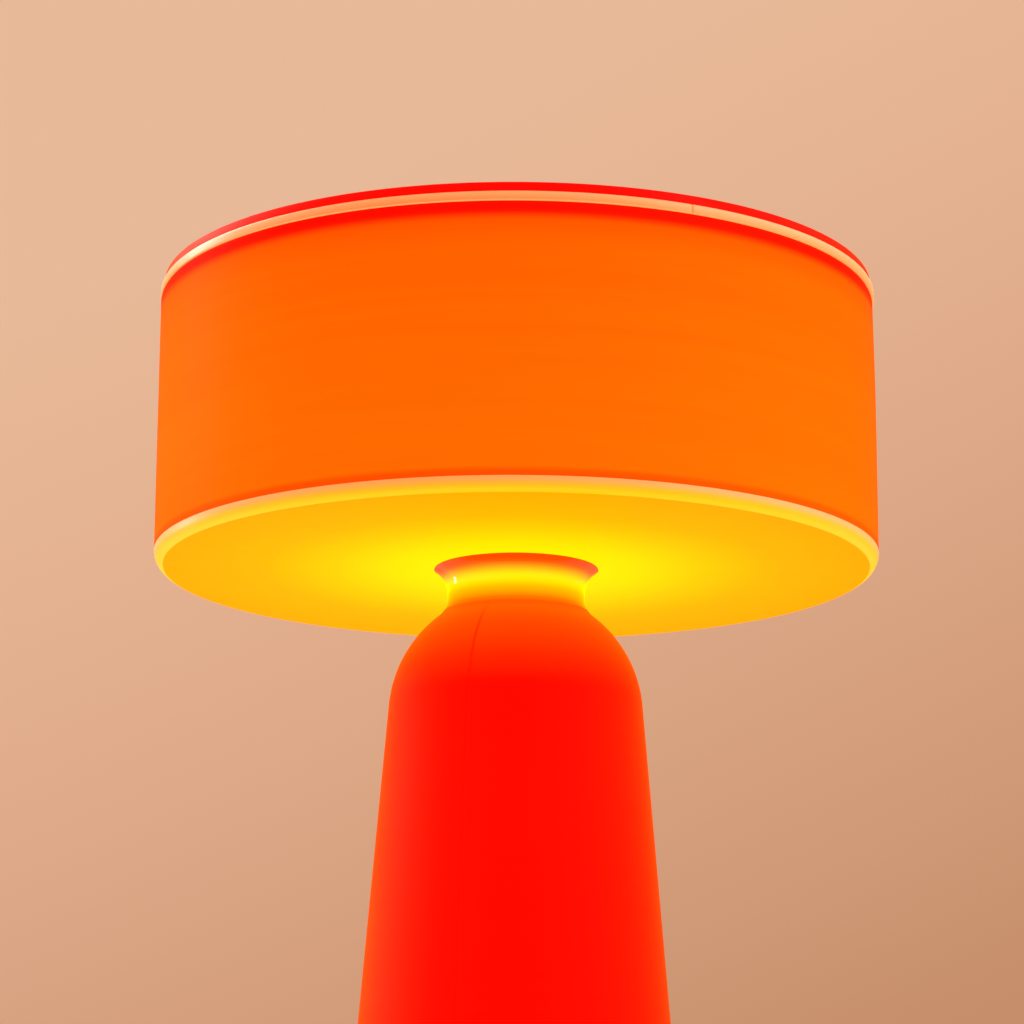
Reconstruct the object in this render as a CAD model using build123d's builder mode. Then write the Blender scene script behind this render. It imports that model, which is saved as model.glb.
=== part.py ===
"""Bedside lamp: a hollow tapered base, a lampholder on a threaded tube and a drum shade that lifts off.

Millimetres, +Z up. The origin is on the table, in the middle of the foot.
"""

import math
import os

from build123d import *

os.makedirs("parts", exist_ok=True)

# Clearances
loose = 0.3  # pieces that lift apart
close = 0.15  # pieces that screw or slip together and stay put

# Shade
sleeve_radius = 120.0
sleeve_height = 85.9
sleeve_wall = 0.9
hem_wall = 1.2
hem_height = 2.4
drum_wall = 1.6
floor_thickness = 2.0
floor_rise = 1.0
rim_height = 4.5
rim_inset = 3.0
hub_wall = 2.4
hub_height = 6.5
crown_height = 3.1
crown_setback = 0.15
crown_wall = 2.0
crown_spigot = 6.0
lid_thickness = 3.2
lid_setback = 0.9
lid_ring_height = 1.8
lid_ring_wall = 2.0
edge_round = 0.4

# Base
lip_height = 218.5
foot_radius = 56.2
shoulder_radius = 41.8
shoulder_height = 172.5
shell_wall = 2.4
neck_height = 14.5
waist_height = 6.0
neck_root_fillet = 8.5
lip_width = 3.1
lip_edge = 0.3
collar_height = 6.5
collar_wall_min = 1.6
foot_round = 1.0
plate_thickness = 6.0
pad_height = 1.5
pad_radius = 7.0
pad_ring_radius = 43.0
pad_count = 4

# Screws that hold the plate
boss_radius = 4.5
boss_height = 14.0
screw_count = 4
screw_radius = 1.5
screw_head_radius = 3.0
screw_head_angle = 90.0
screw_grip = 10.0

# Threaded tube with its nuts and washers
rod_radius = 5.0
rod_bore = 3.75
rod_nut_flats = 14.0
rod_nut_height = 2.8
washer_radius = 9.0
washer_thickness = 0.8
lead_hole_radius = 2.6

# Cord inlet
gland_height = 24.0
gland_bore = 3.3
gland_barrel_radius = 5.0
gland_barrel_length = 13.0
gland_flange_radius = 8.0
gland_flange_thickness = 3.0
gland_pad_radius = 11.0
gland_pad_thickness = 3.4
gland_nut_flats = 15.0
gland_nut_height = 4.0

# Lampholder for a 27 mm screw cap
holder_radius = 19.2
holder_room = 1.2
holder_wall = 1.8
holder_proud = 9.5
skirt_height = 40.0
cap_hub_radius = 8.0
cap_hub_height = 5.0
cap_dome_height = 9.0
cap_band = 1.2
cap_spigot_height = 8.0
cap_thread_depth = 10.0
insert_thickness = 8.0
shell_thickness = 0.4
shell_height = 22.0
contact_thickness = 0.5
contact_width = 5.0
contact_rise = 2.2
contact_reach = 11.0
contact_bend = 6.0
contact_tip = 3.5
terminal_radius = 1.75
terminal_head_radius = 3.0
terminal_head_height = 2.0
terminal_length = 5.0
terminal_offset = 9.0

# Bulb
bulb_cap_radius = 13.2
bulb_cap_wall = 0.4
bulb_cap_height = 22.0
bulb_cap_cone = 2.0
bulb_cap_mouth = 10.4
insulator_height = 2.8
tip_radius = 4.8
tip_height = 1.2
tip_round = 0.5
housing_height = 17.0
housing_wall = 1.4
housing_rim_height = 2.0
globe_radius = 22.5
globe_wall = 1.2
globe_cut = 8.0
board_thickness = 1.6
board_shelf = 1.4
chip_size = 3.0
chip_height = 0.8
chip_ring_radius = 11.0
chip_count = 8
bulb_room = 1.7

# Heights that follow, from the table up
shell_bottom = pad_height
plate_top = shell_bottom + plate_thickness
floor_bottom = lip_height - floor_rise
rim_top = floor_bottom + rim_height
sleeve_top = rim_top + sleeve_height
drum_top = sleeve_top + close
crown_top = drum_top + crown_height
collar_top = lip_height + collar_height
neck_foot = lip_height - neck_height
flare_start = neck_foot + waist_height
holder_top = lip_height + holder_proud
holder_seat = holder_top - skirt_height
cap_bottom = holder_seat - cap_band - cap_dome_height - cap_hub_height
insert_bottom = holder_seat + cap_spigot_height
insert_top = insert_bottom + insert_thickness
tip_bottom = insert_top + contact_rise + contact_thickness + loose
insulator_bottom = tip_bottom + tip_height
bulb_cap_bottom = insulator_bottom + insulator_height
housing_bottom = bulb_cap_bottom + bulb_cap_cone + bulb_cap_height
housing_top = housing_bottom + housing_height
globe_centre = housing_top + globe_cut

# Radii that follow
drum_radius = sleeve_radius - hem_wall - loose
drum_bore = drum_radius - drum_wall
crown_radius = sleeve_radius - crown_setback
crown_spigot_radius = drum_bore - close
crown_bore = crown_spigot_radius - crown_wall
lid_radius = crown_radius - lid_setback
bore_radius = holder_radius + holder_room
neck_radius = bore_radius + shell_wall
hub_for_bulb = globe_radius + bulb_room
hub_for_collar = bore_radius + collar_wall_min + loose
hub_radius = max(hub_for_bulb, hub_for_collar)
collar_radius = hub_radius - loose
lip_radius = hub_radius + lip_width
skirt_bore = holder_radius - holder_wall
shell_outer = bulb_cap_radius + loose + shell_thickness
globe_foot = math.sqrt(globe_radius**2 - globe_cut**2)
globe_foot_bore = math.sqrt((globe_radius - globe_wall) ** 2 - globe_cut**2)

# Taper of the base
taper_slope = (foot_radius - shoulder_radius) / (shoulder_height - shell_bottom)
taper_angle = math.atan(taper_slope)
taper_wall = shell_wall / math.cos(taper_angle)


def base_radius(height):
    """Outer radius of the tapered body at a height below the shoulder."""
    return foot_radius - taper_slope * (height - shell_bottom)


def dome_arc():
    """Centre (radius, height) and radius of the shoulder arc.

    It leaves the taper smoothly at the shoulder and ends on the neck's foot.
    """
    inward = (-math.cos(taper_angle), -math.sin(taper_angle))
    chord = (neck_radius - shoulder_radius, neck_foot - shoulder_height)
    across = inward[0] * chord[0] + inward[1] * chord[1]
    arc_radius = (chord[0] ** 2 + chord[1] ** 2) / (2 * across)
    centre_radius = shoulder_radius + inward[0] * arc_radius
    centre_height = shoulder_height + inward[1] * arc_radius
    return centre_radius, centre_height, arc_radius


def outline(*points):
    """Closed straight-sided outline of (radius, height) points, to be turned about Z."""
    with BuildSketch(Plane.XZ) as section:
        with BuildLine():
            Polyline(*points, close=True)
        make_face()
    return section.sketch


def tube(inner, outer, bottom, top):
    """Outline of a plain ring or tube."""
    return outline((inner, bottom), (outer, bottom), (outer, top), (inner, top))


def rear_plane(distance):
    """Plane that faces backwards at the cord inlet, at a distance behind the lamp's axis."""
    return Plane(origin=(0, distance, gland_height), x_dir=(1, 0, 0), z_dir=(0, 1, 0))


# Where the plate's screws and the cord inlet sit on the shell
boss_top = plate_top + boss_height
boss_reach = (base_radius(plate_top) - taper_wall + base_radius(boss_top)) / 2
boss_ring_radius = boss_reach - boss_radius
screw_angle = 180 / screw_count
gland_face = math.sqrt(base_radius(gland_height + gland_pad_radius) ** 2 - gland_pad_radius**2)
gland_seat = gland_face - gland_pad_thickness
plate_radius = base_radius(plate_top) - taper_wall - loose

# Base shell: taper, round shoulder, waist and flared lip, hollow, with a collar for the shade
dome_centre_radius, dome_centre_height, dome_radius = dome_arc()
cavity_dome = dome_radius - shell_wall
cavity_neck = dome_centre_height + math.sqrt(cavity_dome**2 - (bore_radius - dome_centre_radius) ** 2)
cavity_shoulder = (
    shoulder_radius - shell_wall * math.cos(taper_angle),
    shoulder_height - shell_wall * math.sin(taper_angle),
)

# The hollow fillet at the neck's foot meets the waist below the flare
root_reach = neck_radius - dome_centre_radius
root_climb = flare_start - loose - dome_centre_height
root_room = (root_reach**2 + root_climb**2 - dome_radius**2) / (2 * (dome_radius - root_reach))
root_radius = min(neck_root_fillet, root_room)

with BuildPart() as base_shell:
    with BuildSketch(Plane.XZ) as shell_section:
        with BuildLine():
            taper = Line((foot_radius, shell_bottom), (shoulder_radius, shoulder_height))
            dome = TangentArc(taper @ 1, (neck_radius, neck_foot), tangent=taper % 1)
            waist = Line(dome @ 1, (neck_radius, flare_start))
            flare = TangentArc(waist @ 1, (lip_radius, lip_height - lip_edge), tangent=waist % 1)
            lip = Line(flare @ 1, (lip_radius, lip_height))
            seat = Line(lip @ 1, (collar_radius, lip_height))
            collar = Line(seat @ 1, (collar_radius, collar_top))
            Polyline(collar @ 1, (0, collar_top), (0, shell_bottom), taper @ 0)
        make_face()
        neck_root = shell_section.vertices().sort_by_distance((neck_radius, neck_foot))[0]
        fillet(neck_root, radius=root_radius)
    revolve(axis=Axis.Z)
    fillet(base_shell.edges().group_by(Axis.Z)[0], radius=foot_round)
    with BuildSketch(Plane.XZ):
        with BuildLine():
            inner_taper = Line((foot_radius - taper_wall, shell_bottom), cavity_shoulder)
            inner_dome = TangentArc(
                inner_taper @ 1, (bore_radius, cavity_neck), tangent=inner_taper % 1
            )
            Polyline(
                inner_dome @ 1,
                (bore_radius, collar_top),
                (0, collar_top),
                (0, shell_bottom),
                inner_taper @ 0,
            )
        make_face()
    revolve(axis=Axis.Z, mode=Mode.SUBTRACT)
    with BuildSketch(Plane.XY.offset(plate_top)):
        with PolarLocations(boss_ring_radius, screw_count, start_angle=screw_angle):
            Circle(boss_radius)
    extrude(amount=boss_height)
    with BuildSketch(Plane.XY.offset(plate_top)):
        with PolarLocations(boss_ring_radius, screw_count, start_angle=screw_angle):
            Circle(screw_radius + close)
    extrude(amount=screw_grip + close, mode=Mode.SUBTRACT)
    with BuildSketch(rear_plane(gland_seat)):
        Circle(gland_pad_radius)
    extrude(amount=gland_pad_thickness)
    with BuildSketch(rear_plane(gland_face)):
        Circle(gland_flange_radius + close)
    extrude(amount=foot_radius - gland_face, mode=Mode.SUBTRACT)
    with BuildSketch(rear_plane(gland_seat)):
        Circle(gland_barrel_radius + close)
    extrude(amount=gland_pad_thickness, mode=Mode.SUBTRACT)
base_shell.part.label = "base_shell"
export_step(base_shell.part, "parts/base_shell.step")

# Weight plate: closes the foot, with a pocket underneath for the tube's lower nut
pocket_depth = rod_nut_height + washer_thickness + loose
pocket_radius = washer_radius + loose
screw_bottom = Plane(origin=(0, 0, shell_bottom), x_dir=(1, 0, 0), z_dir=(0, 0, -1))

with BuildPart() as weight_plate:
    with BuildSketch(Plane.XY.offset(shell_bottom)):
        Circle(plate_radius)
    extrude(amount=plate_thickness)
    with BuildSketch(Plane.XY.offset(shell_bottom)):
        Circle(pocket_radius)
    extrude(amount=pocket_depth, mode=Mode.SUBTRACT)
    with BuildSketch(Plane.XY.offset(shell_bottom)):
        Circle(rod_radius + close)
    extrude(amount=plate_thickness, mode=Mode.SUBTRACT)
    with Locations(screw_bottom):
        with PolarLocations(boss_ring_radius, screw_count, start_angle=screw_angle):
            CounterSinkHole(
                radius=screw_radius + close,
                counter_sink_radius=screw_head_radius + close,
                depth=plate_thickness,
                counter_sink_angle=screw_head_angle,
            )
weight_plate.part.label = "weight_plate"
export_step(weight_plate.part, "parts/weight_plate.step")

# Countersunk screws from below into the shell's bosses
screw_cone = (screw_head_radius - screw_radius) / math.tan(math.radians(screw_head_angle / 2))
screw_end = plate_top + screw_grip

with BuildPart() as plate_screws:
    with PolarLocations(boss_ring_radius, screw_count, start_angle=screw_angle):
        with Locations((0, 0, shell_bottom + screw_cone / 2)):
            Cone(screw_head_radius, screw_radius, screw_cone)
        with Locations((0, 0, (shell_bottom + screw_cone + screw_end) / 2)):
            Cylinder(screw_radius, screw_end - shell_bottom - screw_cone)
plate_screws.part.label = "plate_screws"
export_step(plate_screws.part, "parts/plate_screws.step")

# Rubber pads under the plate
with BuildPart() as foot_pads:
    with BuildSketch(Plane.XY):
        with PolarLocations(pad_ring_radius, pad_count):
            Circle(pad_radius)
    extrude(amount=pad_height)
foot_pads.part.label = "foot_pads"
export_step(foot_pads.part, "parts/foot_pads.step")

# Threaded tube from the plate up into the lampholder, with a side hole where the leads go in
pocket_top = shell_bottom + pocket_depth
rod_bottom = pocket_top - washer_thickness - rod_nut_height
rod_top = cap_bottom + cap_thread_depth

with BuildPart() as lamp_rod:
    revolve(tube(rod_bore, rod_radius, rod_bottom, rod_top), axis=Axis.Z)
    with BuildSketch(rear_plane(0)):
        Circle(lead_hole_radius)
    extrude(amount=rod_radius, mode=Mode.SUBTRACT)
lamp_rod.part.label = "lamp_rod"
export_step(lamp_rod.part, "parts/lamp_rod.step")


def nut_section(bottom):
    """Hexagon with the tube's hole, on a level plane."""
    with BuildSketch(Plane.XY.offset(bottom)) as section:
        RegularPolygon(rod_nut_flats / 2, 6, major_radius=False)
        Circle(rod_radius + close, mode=Mode.SUBTRACT)
    return section.sketch


with BuildPart() as rod_lower_washer:
    lower_washer = tube(rod_radius + close, washer_radius, pocket_top - washer_thickness, pocket_top)
    revolve(lower_washer, axis=Axis.Z)
rod_lower_washer.part.label = "rod_lower_washer"
export_step(rod_lower_washer.part, "parts/rod_lower_washer.step")

with BuildPart() as rod_lower_nut:
    extrude(nut_section(rod_bottom), amount=rod_nut_height)
rod_lower_nut.part.label = "rod_lower_nut"
export_step(rod_lower_nut.part, "parts/rod_lower_nut.step")

with BuildPart() as rod_upper_washer:
    upper_washer = tube(rod_radius + close, washer_radius, plate_top, plate_top + washer_thickness)
    revolve(upper_washer, axis=Axis.Z)
rod_upper_washer.part.label = "rod_upper_washer"
export_step(rod_upper_washer.part, "parts/rod_upper_washer.step")

with BuildPart() as rod_upper_nut:
    extrude(nut_section(plate_top + washer_thickness), amount=rod_nut_height)
rod_upper_nut.part.label = "rod_upper_nut"
export_step(rod_upper_nut.part, "parts/rod_upper_nut.step")

with BuildPart() as holder_stop_nut:
    extrude(nut_section(cap_bottom - rod_nut_height), amount=rod_nut_height)
holder_stop_nut.part.label = "holder_stop_nut"
export_step(holder_stop_nut.part, "parts/holder_stop_nut.step")

# Cord gland in the rear wall, with its nut inside
with BuildPart() as cord_gland:
    with BuildSketch(rear_plane(gland_face)):
        Circle(gland_flange_radius)
    extrude(amount=gland_flange_thickness)
    fillet(cord_gland.edges().sort_by(Axis.Y)[-1], radius=foot_round)
    with BuildSketch(rear_plane(gland_face)):
        Circle(gland_barrel_radius)
    extrude(amount=-gland_barrel_length)
    with BuildSketch(rear_plane(gland_face - gland_barrel_length)):
        Circle(gland_bore)
    extrude(amount=gland_barrel_length + gland_flange_thickness, mode=Mode.SUBTRACT)
cord_gland.part.label = "cord_gland"
export_step(cord_gland.part, "parts/cord_gland.step")

with BuildPart() as gland_nut:
    with BuildSketch(rear_plane(gland_seat)):
        RegularPolygon(gland_nut_flats / 2, 6, major_radius=False)
        Circle(gland_barrel_radius + close, mode=Mode.SUBTRACT)
    extrude(amount=-gland_nut_height)
gland_nut.part.label = "gland_nut"
export_step(gland_nut.part, "parts/gland_nut.step")

# Lampholder cap: threaded hub, dome and the spigot that the skirt screws on to
dome_bottom = cap_bottom + cap_hub_height
band_bottom = dome_bottom + cap_dome_height
spigot_radius = skirt_bore - close
spigot_bore = spigot_radius - holder_wall
hub_top = cap_bottom + cap_thread_depth

with BuildPart() as holder_cap:
    with BuildSketch(Plane.XZ):
        with BuildLine():
            hub = Line((cap_hub_radius, cap_bottom), (cap_hub_radius, dome_bottom))
            cap_dome = TangentArc((holder_radius, band_bottom), hub @ 1, tangent=(0, -1))
            band = Line(cap_dome @ 0, (holder_radius, holder_seat))
            Polyline(
                band @ 1,
                (spigot_radius, holder_seat),
                (spigot_radius, insert_bottom),
                (spigot_bore, insert_bottom),
                (spigot_bore, band_bottom),
                (cap_hub_radius, hub_top),
                (rod_radius + close, hub_top),
                (rod_radius + close, cap_bottom),
                hub @ 0,
            )
        make_face()
    revolve(axis=Axis.Z)
holder_cap.part.label = "holder_cap"
export_step(holder_cap.part, "parts/holder_cap.step")

# Insert that carries the contacts, with two blind terminal holes underneath
with BuildPart() as holder_insert:
    with BuildSketch(Plane.XY.offset(insert_bottom)):
        Circle(spigot_radius)
    extrude(amount=insert_thickness)
    with BuildSketch(Plane.XY.offset(insert_bottom)):
        with PolarLocations(terminal_offset, 2):
            Circle(terminal_radius + close)
    extrude(amount=terminal_length + close, mode=Mode.SUBTRACT)
holder_insert.part.label = "holder_insert"
export_step(holder_insert.part, "parts/holder_insert.step")

with BuildPart() as terminal_screws:
    with BuildSketch(Plane.XY.offset(insert_bottom)):
        with PolarLocations(terminal_offset, 2):
            Circle(terminal_radius)
    extrude(amount=terminal_length)
    with BuildSketch(Plane.XY.offset(insert_bottom)):
        with PolarLocations(terminal_offset, 2):
            Circle(terminal_head_radius)
    extrude(amount=-terminal_head_height)
terminal_screws.part.label = "terminal_screws"
export_step(terminal_screws.part, "parts/terminal_screws.step")

# Springy strip that meets the bulb's contact
with BuildPart() as centre_contact:
    with BuildSketch(Plane.XZ):
        with BuildLine():
            Polyline(
                (-contact_reach, insert_top),
                (-contact_bend, insert_top),
                (contact_tip, insert_top + contact_rise),
                (contact_tip, insert_top + contact_rise + contact_thickness),
                (-contact_bend, insert_top + contact_thickness),
                (-contact_reach, insert_top + contact_thickness),
                close=True,
            )
        make_face()
    extrude(amount=contact_width / 2, both=True)
centre_contact.part.label = "centre_contact"
export_step(centre_contact.part, "parts/centre_contact.step")

with BuildPart() as screw_shell:
    revolve(
        tube(shell_outer - shell_thickness, shell_outer, insert_top, insert_top + shell_height),
        axis=Axis.Z,
    )
screw_shell.part.label = "screw_shell"
export_step(screw_shell.part, "parts/screw_shell.step")

# Skirt: screws on to the cap, clamps the insert and stands round the screw shell
skirt_step = insert_top + close
skirt_mouth = shell_outer + loose

with BuildPart() as holder_skirt:
    skirt_section = outline(
        (holder_radius, holder_seat),
        (holder_radius, holder_top),
        (skirt_mouth, holder_top),
        (skirt_mouth, skirt_step),
        (skirt_bore, skirt_step),
        (skirt_bore, holder_seat),
    )
    revolve(skirt_section, axis=Axis.Z)
    fillet(holder_skirt.edges().group_by(Axis.Z)[-1], radius=edge_round)
holder_skirt.part.label = "holder_skirt"
export_step(holder_skirt.part, "parts/holder_skirt.step")

# Diffuser drum: floor dished up to the lip, rounded rim, wall and the hub that stands over the collar
hub_foot = lip_height + floor_thickness
hub_outer = hub_radius + hub_wall

with BuildPart() as diffuser_drum:
    with BuildSketch(Plane.XZ):
        with BuildLine():
            ledge = Line((drum_radius, rim_top), (sleeve_radius, rim_top))
            rim = TangentArc(ledge @ 1, (sleeve_radius - rim_inset, floor_bottom), tangent=(0, -1))
            Polyline(
                rim @ 1,
                (lip_radius + loose, lip_height),
                (hub_radius, lip_height),
                (hub_radius, hub_foot + hub_height),
                (hub_outer, hub_foot + hub_height),
                (hub_outer, hub_foot),
                (drum_bore, floor_bottom + floor_thickness),
                (drum_bore, drum_top),
                (drum_radius, drum_top),
                ledge @ 0,
            )
        make_face()
    revolve(axis=Axis.Z)
    fillet(diffuser_drum.edges().group_by(Axis.Z)[-1], radius=edge_round)
diffuser_drum.part.label = "diffuser_drum"
export_step(diffuser_drum.part, "parts/diffuser_drum.step")

# Sleeve: slips over the drum and stands on its rim, with a thicker hem at each end
hem_radius = sleeve_radius - hem_wall
wall_radius = sleeve_radius - sleeve_wall

with BuildPart() as shade_sleeve:
    sleeve_section = outline(
        (sleeve_radius, rim_top),
        (sleeve_radius, sleeve_top),
        (hem_radius, sleeve_top),
        (hem_radius, sleeve_top - hem_height),
        (wall_radius, sleeve_top - hem_height),
        (wall_radius, rim_top + hem_height),
        (hem_radius, rim_top + hem_height),
        (hem_radius, rim_top),
    )
    revolve(sleeve_section, axis=Axis.Z)
    fillet(shade_sleeve.edges().group_by(Axis.Z)[-1], radius=edge_round)
shade_sleeve.part.label = "shade_sleeve"
export_step(shade_sleeve.part, "parts/shade_sleeve.step")

# Crown ring: holds the sleeve down, flush with it, and plugs into the drum
with BuildPart() as crown_ring:
    crown_section = outline(
        (crown_bore, drum_top - crown_spigot),
        (crown_spigot_radius, drum_top - crown_spigot),
        (crown_spigot_radius, drum_top),
        (crown_radius, drum_top),
        (crown_radius, crown_top),
        (crown_bore, crown_top),
    )
    revolve(crown_section, axis=Axis.Z)
    fillet(crown_ring.edges().group_by(Axis.Z)[-1], radius=edge_round)
crown_ring.part.label = "crown_ring"
export_step(crown_ring.part, "parts/crown_ring.step")

# Lid: lies on the crown, centred by a ring underneath
lid_ring_radius = crown_bore - loose

with BuildPart() as top_lid:
    with BuildSketch(Plane.XY.offset(crown_top)):
        Circle(lid_radius)
    extrude(amount=lid_thickness)
    fillet(top_lid.edges().group_by(Axis.Z)[-1], radius=edge_round)
    with BuildSketch(Plane.XY.offset(crown_top)):
        Circle(lid_ring_radius)
        Circle(lid_ring_radius - lid_ring_wall, mode=Mode.SUBTRACT)
    extrude(amount=-lid_ring_height)
top_lid.part.label = "top_lid"
export_step(top_lid.part, "parts/top_lid.step")

# Bulb: contact, insulator and metal cap
with BuildPart() as bulb_contact:
    with BuildSketch(Plane.XY.offset(tip_bottom)):
        Circle(tip_radius)
    extrude(amount=tip_height)
    fillet(bulb_contact.edges().group_by(Axis.Z)[0], radius=tip_round)
bulb_contact.part.label = "bulb_contact"
export_step(bulb_contact.part, "parts/bulb_contact.step")

insulator_top = bulb_cap_mouth - bulb_cap_wall

with BuildPart() as bulb_insulator:
    insulator_section = outline(
        (0, insulator_bottom),
        (tip_radius, insulator_bottom),
        (insulator_top, bulb_cap_bottom),
        (0, bulb_cap_bottom),
    )
    revolve(insulator_section, axis=Axis.Z)
bulb_insulator.part.label = "bulb_insulator"
export_step(bulb_insulator.part, "parts/bulb_insulator.step")

cap_side_bottom = bulb_cap_bottom + bulb_cap_cone

with BuildPart() as bulb_cap:
    cap_section = outline(
        (insulator_top, bulb_cap_bottom),
        (bulb_cap_mouth, bulb_cap_bottom),
        (bulb_cap_radius, cap_side_bottom),
        (bulb_cap_radius, housing_bottom),
        (bulb_cap_radius - bulb_cap_wall, housing_bottom),
        (bulb_cap_radius - bulb_cap_wall, cap_side_bottom),
    )
    revolve(cap_section, axis=Axis.Z)
bulb_cap.part.label = "bulb_cap"
export_step(bulb_cap.part, "parts/bulb_cap.step")

# Bulb housing: flares from the cap to the globe, with a shelf for the board
rim_bottom = housing_top - housing_rim_height
shelf_height = housing_top - board_thickness
shelf_radius = globe_foot_bore - board_shelf

with BuildPart() as bulb_housing:
    with BuildSketch(Plane.XZ):
        with BuildLine():
            throat = (bulb_cap_radius, housing_bottom)
            flank = TangentArc((globe_foot, rim_bottom), throat, tangent=(0, -1))
            band = Line(flank @ 0, (globe_foot, housing_top))
            Polyline(
                band @ 1,
                (globe_foot_bore, housing_top),
                (globe_foot_bore, shelf_height),
                (shelf_radius, shelf_height),
                (bulb_cap_radius - housing_wall, housing_bottom),
                flank @ 1,
            )
        make_face()
    revolve(axis=Axis.Z)
bulb_housing.part.label = "bulb_housing"
export_step(bulb_housing.part, "parts/bulb_housing.step")

with BuildPart() as led_board:
    with BuildSketch(Plane.XY.offset(shelf_height)):
        Circle(globe_foot_bore - close)
    extrude(amount=board_thickness)
led_board.part.label = "led_board"
export_step(led_board.part, "parts/led_board.step")

with BuildPart() as led_chips:
    with BuildSketch(Plane.XY.offset(housing_top)):
        with PolarLocations(chip_ring_radius, chip_count):
            Rectangle(chip_size, chip_size)
    extrude(amount=chip_height)
led_chips.part.label = "led_chips"
export_step(led_chips.part, "parts/led_chips.step")

# Globe: a hollow ball cut flat where it stands on the housing
with BuildPart() as bulb_globe:
    with BuildSketch(Plane.XZ):
        with BuildLine():
            outer_foot = (globe_foot, housing_top)
            inner_foot = (globe_foot_bore, housing_top)
            outer_side = (globe_radius, globe_centre)
            inner_side = (globe_radius - globe_wall, globe_centre)
            outer_top = (0, globe_centre + globe_radius)
            inner_top = (0, globe_centre + globe_radius - globe_wall)
            RadiusArc(outer_foot, outer_side, -globe_radius)
            RadiusArc(outer_side, outer_top, -globe_radius)
            Line(outer_top, inner_top)
            RadiusArc(inner_top, inner_side, globe_radius - globe_wall)
            RadiusArc(inner_side, inner_foot, globe_radius - globe_wall)
            Line(inner_foot, outer_foot)
        make_face()
    revolve(axis=Axis.Z)
bulb_globe.part.label = "bulb_globe"
export_step(bulb_globe.part, "parts/bulb_globe.step")
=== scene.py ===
# %% [markdown]
# # A printed bedside lamp, lit
# The lamp is a hollow red base with a flared neck that carries a drum shade: a cream diffuser in a
# thin orange sleeve, with a cream crown ring and a loose red lid. The CAD frame gives the place of
# every piece, so this lesson only builds finer surfaces over it and gives each one its finish.

# %% Load the frame
import math

import bpy
import numpy as np
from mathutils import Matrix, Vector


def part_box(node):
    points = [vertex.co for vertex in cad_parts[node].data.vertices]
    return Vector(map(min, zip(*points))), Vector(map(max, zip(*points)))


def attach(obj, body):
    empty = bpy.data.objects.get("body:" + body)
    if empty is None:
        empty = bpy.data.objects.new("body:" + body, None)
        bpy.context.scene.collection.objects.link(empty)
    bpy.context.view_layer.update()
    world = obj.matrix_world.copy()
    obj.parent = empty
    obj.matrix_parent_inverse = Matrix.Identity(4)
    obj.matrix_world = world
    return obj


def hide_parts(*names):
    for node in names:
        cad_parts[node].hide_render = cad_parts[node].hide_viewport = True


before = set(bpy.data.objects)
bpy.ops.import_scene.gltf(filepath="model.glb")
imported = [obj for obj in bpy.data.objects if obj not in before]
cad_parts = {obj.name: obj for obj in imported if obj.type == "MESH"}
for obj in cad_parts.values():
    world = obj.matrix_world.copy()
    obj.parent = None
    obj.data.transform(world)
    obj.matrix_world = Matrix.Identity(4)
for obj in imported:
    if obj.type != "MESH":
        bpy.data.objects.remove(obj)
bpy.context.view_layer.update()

# %% [markdown]
# ## Sizes
# Whatever the frame knows is read from it, which keeps this script in step: a box gives the lowest
# and highest corner of a node. Sizes that a box can't tell, such as walls, are named where they are
# used, in metres.

# %% Sizes read from the frame
MM = 0.001
base_low, base_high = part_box("base_shell")
drum_low, drum_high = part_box("diffuser_drum")
sleeve_low, sleeve_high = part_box("shade_sleeve")
crown_low, crown_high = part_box("crown_ring")
lid_low, lid_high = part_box("top_lid")

foot_height, collar_top, foot_radius = base_low.z, base_high.z, base_high.x
floor_bottom, drum_top = drum_low.z, drum_high.z
rim_top, sleeve_top, sleeve_radius = sleeve_low.z, sleeve_high.z, sleeve_high.x
crown_top = crown_high.z
lid_top, lid_radius = lid_high.z, lid_high.x
print("foot radius", foot_radius, "rim top", rim_top, "lid top", lid_top)

# %% [markdown]
# ## Camera
# The picture is taken from low down with the lens tilted up, so the glowing underside shows as a
# thin ellipse and the base runs out of the frame. A long lens far away keeps the ellipses flat. The
# camera is turned in three steps: pitch, then a little yaw, then a little roll.

# %% Camera
CAMERA_PLACE = (0.0, -1.1133, -0.0178)
CAMERA_PITCH = math.radians(12.951)
CAMERA_YAW = math.radians(0.0184)
CAMERA_ROLL = math.radians(-0.2576)
CAMERA_LENS, SENSOR_WIDTH, CLIP_START = 120.3, 36, 0.01


def add_object(name, data):
    """Puts a new object in the scene."""
    made = bpy.data.objects.new(name, data)
    bpy.context.scene.collection.objects.link(made)
    return made


camera = add_object("camera", bpy.data.cameras.new("camera"))
camera.location = CAMERA_PLACE
camera.rotation_euler = (math.pi / 2 + CAMERA_PITCH, CAMERA_ROLL, CAMERA_YAW)
camera.data.lens = CAMERA_LENS
camera.data.sensor_width = SENSOR_WIDTH
camera.data.clip_start = CLIP_START
bpy.context.scene.camera = camera
bpy.context.scene.view_settings.view_transform = "Standard"
print("camera", CAMERA_PLACE, "lens", CAMERA_LENS)

# %% [markdown]
# ## Colours
# Colours are easiest to judge as screen values from 0 to 255, but shaders work in linear light.
# This helper undoes the screen's curve, so a colour can be written the way it is seen.


# %% Screen colour to linear light
def tone(red, green, blue):
    """Linear light of a screen colour: ((v + 0.055) / 1.055) ** 2.4, or v / 12.92 if v is dark."""
    screen = np.array([red, green, blue]) / 255
    dark = screen / 12.92
    light = ((screen + 0.055) / 1.055) ** 2.4
    return np.where(screen <= 0.04045, dark, light).tolist()


print("mid grey in linear light", tone(128, 128, 128)[0])

# %% [markdown]
# ## Nodes
# The backdrop and the finishes are graphs of nodes. They are many and much alike, so they aren't
# laid out in the node editor: one helper adds and joins a node, another fills a colour ramp.


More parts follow.
